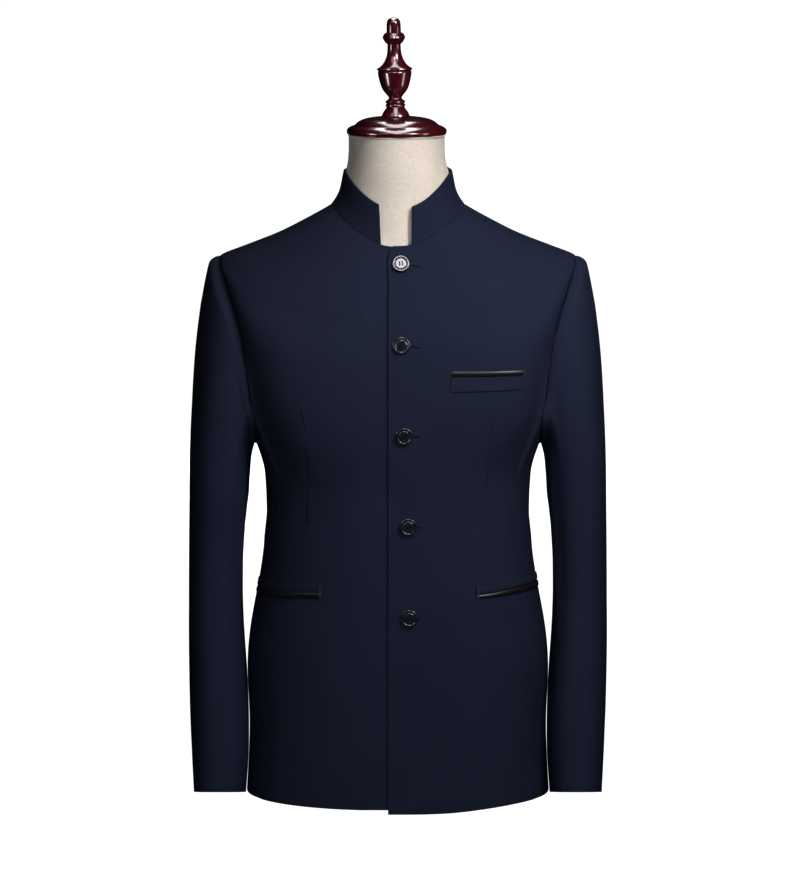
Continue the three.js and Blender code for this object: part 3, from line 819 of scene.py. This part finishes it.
def turned_button():
    """A button lying flat, its back on z = 0: a disc with its face shaped by insets, and drilled."""
    bpy.ops.object.select_all(action="DESELECT")
    blank = {"radius": BUTTON_RADIUS, "depth": BLANK_DEPTH, "location": (0, 0, BLANK_DEPTH / 2)}
    bpy.ops.mesh.primitive_cylinder_add(vertices=64, **blank)
    button = bpy.context.object
    bpy.ops.object.transform_apply(location=True, rotation=True, scale=True)
    bpy.ops.object.mode_set(mode="EDIT")
    bpy.ops.mesh.select_all(action="DESELECT")
    mesh = bmesh.from_edit_mesh(button.data)
    for face in mesh.faces:
        face.select_set(face.normal.z > 0.9)
    bmesh.update_edit_mesh(button.data)
    for width, step in BUTTON_STEPS:
        bpy.ops.mesh.inset(thickness=width)
        bpy.ops.transform.translate(value=(0, 0, step))
    bpy.ops.object.mode_set(mode="OBJECT")
    soft = button.modifiers.new("Bevel", "BEVEL")
    soft.width = 0.0004
    soft.segments = 4
    soft.limit_method = "ANGLE"
    soft.angle_limit = math.radians(16)
    bpy.ops.object.modifier_apply(modifier=soft.name)
    for x in (-HOLE_SPACING, HOLE_SPACING):
        for y in (-HOLE_SPACING, HOLE_SPACING):
            bore = {"radius": HOLE_RADIUS, "depth": DRILL_LENGTH, "location": (x, y, 0)}
            bpy.ops.mesh.primitive_cylinder_add(vertices=20, **bore)
            drill = bpy.context.object
            cut = button.modifiers.new("Boolean", "BOOLEAN")
            cut.operation = "DIFFERENCE"
            cut.solver = "EXACT"
            cut.object = drill
            select_only(button)
            bpy.ops.object.modifier_apply(modifier=cut.name)
            bpy.data.objects.remove(drill)
    bpy.ops.object.shade_smooth_by_angle(angle=math.radians(32))
    return button.data


STRAND_PITCH = 0.00042
STRAND_RISE = 0.0006
STRAND_DIP = 0.0009
STRAND_SWAY = 0.0001


def sewn_thread():
    """The turns of twist that cross the button between its holes and dip into them."""
    paths = []
    for column in (-1, 1):
        for strand in (-1, 0, 1):
            x = column * HOLE_SPACING + strand * STRAND_PITCH
            path = []
            for share in np.linspace(0, 1, 9):
                y = -HOLE_SPACING + 2 * HOLE_SPACING * share
                lift = BLANK_DEPTH + STRAND_RISE * math.sin(math.pi * share) ** 0.6
                if share in (0, 1):
                    lift -= STRAND_DIP
                sway = strand * STRAND_SWAY * math.cos(math.pi * share)
                path.append((x + sway, y, lift))
            paths.append(path)
    return paths


LIP_SET = 0.0009


def buttonhole(end, sag):
    """The part of a worked hole that shows beside its button: two thin lips on a slit that sags a little,
    and a small tack across its end. The slit itself is a thick dark cord, painted shade in the open
    cut. All run from under the button's edge."""
    start = BUTTON_RADIUS - 0.002
    span = np.linspace(start, end, 9)
    drop = [-sag * ((x - start) / (end - start)) for x in span]
    slit = [(x, y, 0.0001) for x, y in zip(span, drop)]
    lips = [[(x, y + lip, 0.0002) for x, y in zip(span, drop)] for lip in (LIP_SET, -LIP_SET)]
    tack = []
    for x in (end, end + 0.0004):
        tack.append([(x, drop[-1] - 0.0012, 0.0003), (x, drop[-1] + 0.0011, 0.0003)])
    return [slit], lips, tack


# Dark twist for the buttons' sewing, the buttonhole lips and the tacks. The same finish is also painted
# shade: the thick cord along each open slit.
DARK_TWIST_AND_SLIT_SHADE = thread_finish("dark twist and slit shade", (0.0015, 0.0015, 0.0025), (0.005, 0.005, 0.008))
SEWING_RADIUS = 0.00026
SLIT_SHADE_RADIUS = 0.0008
LIP_RADIUS = 0.00025
TACK_RADIUS = 0.0003
CAST_AHEAD = 0.02
HAND_TURN = 0.12
HOLES = [
    # how far the hole reaches from the button's middle, and how much it sags
    (0.0235, 0.0030),
    (0.0225, 0.0026),
    (0.0182, 0.0008),
    (0.0145, 0.0006),
    (0.0125, 0.0002),
]


def placed(points, spot, ways, face):
    """Sets flat points on a front, each carried by the face where it lies."""
    x_way, y_way, out = ways
    result = []
    for x, y, lift in points:
        at = spot + x_way * x + y_way * y
        place = face(at + out * CAST_AHEAD, -out)
        base = place[0] if place else at
        result.append(base + out * lift)
    return result


button_mesh = turned_button()
bpy.data.objects.remove(bpy.context.object)
face = front_face["left"]
seats = []
for number, (end, sag) in enumerate(HOLES, 1):
    low, high = (Vector(corner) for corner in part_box(f"button_{number}"))
    middle = (low + high) / 2
    spot, out = on_face(face, middle.x, middle.z, 0.0)
    seats.append((spot, out))
    x_way = Vector((0, 0, 1)).cross(out).normalized()
    y_way = out.cross(x_way)
    turn = HAND_TURN * math.sin(number * 1.7)
    face_x = x_way * math.cos(turn) + y_way * math.sin(turn)
    face_y = out.cross(face_x)
    facing = Matrix((face_x, face_y, out)).transposed().to_4x4()
    stand = Matrix.Translation(spot + out * BUTTON_SHANK) @ facing
    button = bpy.data.objects.new(f"front_button_{number}", button_mesh.copy())
    bpy.context.collection.objects.link(button)
    button.data.transform(stand)
    dress(button, RESIN, "button", f"button_{number}")
    sewing = [[stand @ Vector(point) for point in path] for path in sewn_thread()]
    stitch(f"button_thread_{number}", sewing, SEWING_RADIUS, DARK_TWIST_AND_SLIT_SHADE)
    ways = (x_way, y_way, out)
    worked = buttonhole(end, sag)
    slit, lips, tack = ([placed(path, spot, ways, face) for path in paths] for paths in worked)
    # The slit is a thick dark cord: painted shade in the open cut between the lips.
    stitch(f"buttonhole_slit_shade_{number}", slit, SLIT_SHADE_RADIUS, DARK_TWIST_AND_SLIT_SHADE)
    stitch(f"buttonhole_{number}", lips, LIP_RADIUS, DARK_TWIST_AND_SLIT_SHADE)
    stitch(f"buttonhole_tack_{number}", tack, TACK_RADIUS, DARK_TWIST_AND_SLIT_SHADE)

# ---- Dress form ----
# A limbless form, padded and covered in cream linen that is pulled smooth over it. Its neck ends
# in a thin plate under the same linen.

NECK_RADIUS = 0.062
WEAVE_PITCH = 0.0012
CREAM = (0.280, 0.245, 0.213), (0.470, 0.423, 0.375)


def linen_finish():
    linen = Finish("cream linen", Specular_IOR_Level=0.25, Sheen_Weight=0.15)
    x, y, z = linen.split(linen.place())
    round_neck = linen.math("ARCTAN2", x, y) * NECK_RADIUS
    slub_up = linen.noise(1.0, 2, linen.stretched((1500, 1500, 90)))
    slub_round = linen.noise(1.0, 2, linen.stretched((120, 120, 1700)))
    warp = linen.wave(round_neck / WEAVE_PITCH + slub_up * 0.4)
    weft = linen.wave(z / WEAVE_PITCH + slub_round * 0.4)
    weave = warp * weft
    tone = weave * 0.12 + slub_up * 0.55 + slub_round * 0.8 + linen.noise(9, 2) * 0.5
    return linen.surface(
        linen.colour(*CREAM, tone),
        0.86 + slub_round * 0.1,
        weave * 0.5 + slub_up + slub_round,
        0.00016,
        0.5,
    )


LINEN = linen_finish()


def refined(node, name, levels, keep_over):
    """A solid's own form, rounded out between its edges, with edges sharper than an angle kept."""
    piece = copy_of(node, name)
    mesh = bmesh.from_edit_mesh(piece.data)
    sharp = mesh.edges.layers.float.get("crease_edge") or mesh.edges.layers.float.new("crease_edge")
    for edge in mesh.edges:
        if edge.calc_face_angle(0) > math.radians(keep_over):
            edge[sharp] = 1.0
    bmesh.update_edit_mesh(piece.data)
    bpy.ops.object.mode_set(mode="OBJECT")
    round_out(piece, levels)
    bpy.ops.object.shade_smooth_by_angle(angle=math.radians(35))
    return piece


body = refined("form_torso", "dress_form", levels=3, keep_over=60)
dress(body, LINEN, "linen", "form_torso")
plate = refined("neck_rim", "neck_plate", levels=2, keep_over=40)
dress(plate, LINEN, "linen", "neck_rim")

# ---- Cap, finial and base ----
# Turned hardwood, stained a deep red mahogany and lacquered to a high gloss. The cap closes the
# neck, the finial is screwed into it, and the base board carries the form.

MAHOGANY = (0.0110, 0.0009, 0.0020), (0.0720, 0.0046, 0.0110)


def lacquer_finish():
    wood = Finish("mahogany lacquer", Specular_IOR_Level=0.0, Coat_Weight=1.0, Coat_Roughness=0.19)
    rings = wood.noise(1.0, 4, wood.stretched((60, 60, 9)))
    pores = wood.noise(1.0, 2, wood.stretched((1500, 1500, 70)))
    figure = wood.wave(rings * 5 + wood.noise(20, 2)) * 0.14
    return wood.surface(
        wood.colour(*MAHOGANY, figure + pores * 0.5 + rings * 0.4),
        0.24 + pores * 0.15,
        pores,
        0.00004,
        0.2,
    )


LACQUER = lacquer_finish()
cap = refined("cap", "neck_cap", levels=2, keep_over=38)
dress(cap, LACQUER, "wood", "cap")
finial = refined("finial", "turned_finial", levels=2, keep_over=44)
dress(finial, LACQUER, "wood", "finial")
board = refined("base_board", "foot_board", levels=2, keep_over=30)
dress(board, LACQUER, "wood", "base_board")

# ---- Studio ----
# A plain white floor, a soft key light from the wearer's left, and fills before and behind. Boxes
# that only show in the gloss of the wood, the satin and the buttons stand overhead and beside it.


def floor_finish():
    paper = Finish("pale floor", Specular_IOR_Level=0.0, Roughness=1.0, Emission_Strength=1.06)
    patches = paper.noise(0.5, 2)
    glow = paper.colour((0.98, 0.98, 0.98), (1.0, 1.0, 1.0), patches)
    paper.feed(paper.shader.inputs["Emission Color"], glow)
    shade = paper.colour((0.08, 0.08, 0.08), (0.10, 0.10, 0.10), patches)
    paper.feed(paper.shader.inputs["Base Color"], shade)
    return paper.material


bpy.ops.object.select_all(action="DESELECT")
bpy.ops.mesh.primitive_plane_add(size=90, location=(0, 0, -0.0002))
floor = bpy.context.object
floor.name = "floor"
floor.data.materials.append(floor_finish())
floor.visible_diffuse = False
floor.visible_glossy = False

scene = bpy.context.scene
scene.view_settings.view_transform = "Standard"
scene.view_settings.gamma = 0.84
scene.world = bpy.data.worlds.new("studio")
scene.world.use_nodes = True
backdrop = scene.world.node_tree.nodes["Background"]
backdrop.inputs["Color"].default_value = (0.97, 0.98, 1.0, 1)
backdrop.inputs["Strength"].default_value = 1.1
scene.world.cycles_visibility.glossy = False
scene.world.cycles_visibility.diffuse = False


def softbox(name, place, aim, width, height, watts, matte, spread=180):
    """A rectangular light. A matte one lights the cloth, and any other only shows in gloss."""
    light = bpy.data.lights.new(name, "AREA")
    light.shape = "RECTANGLE"
    light.size = width
    light.size_y = height
    light.energy = watts
    light.spread = math.radians(spread)
    lamp = bpy.data.objects.new(name, light)
    lamp.location = place
    lamp.rotation_euler = (Vector(aim) - Vector(place)).to_track_quat("-Z", "Y").to_euler()
    lamp.visible_camera = False
    lamp.visible_glossy = not matte
    lamp.visible_diffuse = matte
    scene.collection.objects.link(lamp)


softbox("key", (0.62, -0.90, 1.36), (0.09, -0.06, 0.58), 0.4, 0.4, 6.0, matte=True, spread=80)
softbox("front_fill", (0.1, -3.4, 0.45), (0, 0, 0.35), 1.2, 0.8, 80, matte=True)
softbox("back_fill", (-0.8, 3.2, 0.6), (0, 0, 0.4), 1.6, 1.0, 150, matte=True)
softbox("left_strip", (-0.41, -0.29, 0.74), (0, 0, 0.74), 0.10, 0.38, 3.2, matte=False)
softbox("right_strip", (0.46, -0.20, 0.74), (0, 0, 0.74), 0.08, 0.38, 1.6, matte=False)
softbox("top_box", (0.0, -1.0, 1.85), (0, -0.05, 0.85), 2.0, 0.7, 20, matte=False)
softbox("ceiling_box", (0.0, 0.1, 1.95), (0, 0, 0.85), 0.55, 2.0, 50, matte=False)
softbox("rim_box", (1.7, -2.0, 2.2), (0, -0.1, 0.45), 0.9, 0.9, 170, matte=False)

camera = bpy.data.objects.new("camera", bpy.data.cameras.new("camera"))
camera.data.sensor_width = 36
camera.data.lens = 240.8
camera.data.clip_end = 200
camera.location = (-0.0034, -6.9385, 1.366)
camera.rotation_euler = (math.radians(90 - 7.6), 0, 0)
scene.collection.objects.link(camera)
scene.camera = camera

# The top button leans back and catches a small light of its own.
button_spot, button_out = seats[0]
towards_camera = (camera.location - button_spot).normalized()
mirrored = button_out * 2 * button_out.dot(towards_camera) - towards_camera
button_box = button_spot + mirrored * 1.6
softbox("button_box", button_box, button_spot, 0.34, 0.34, 12, matte=False)
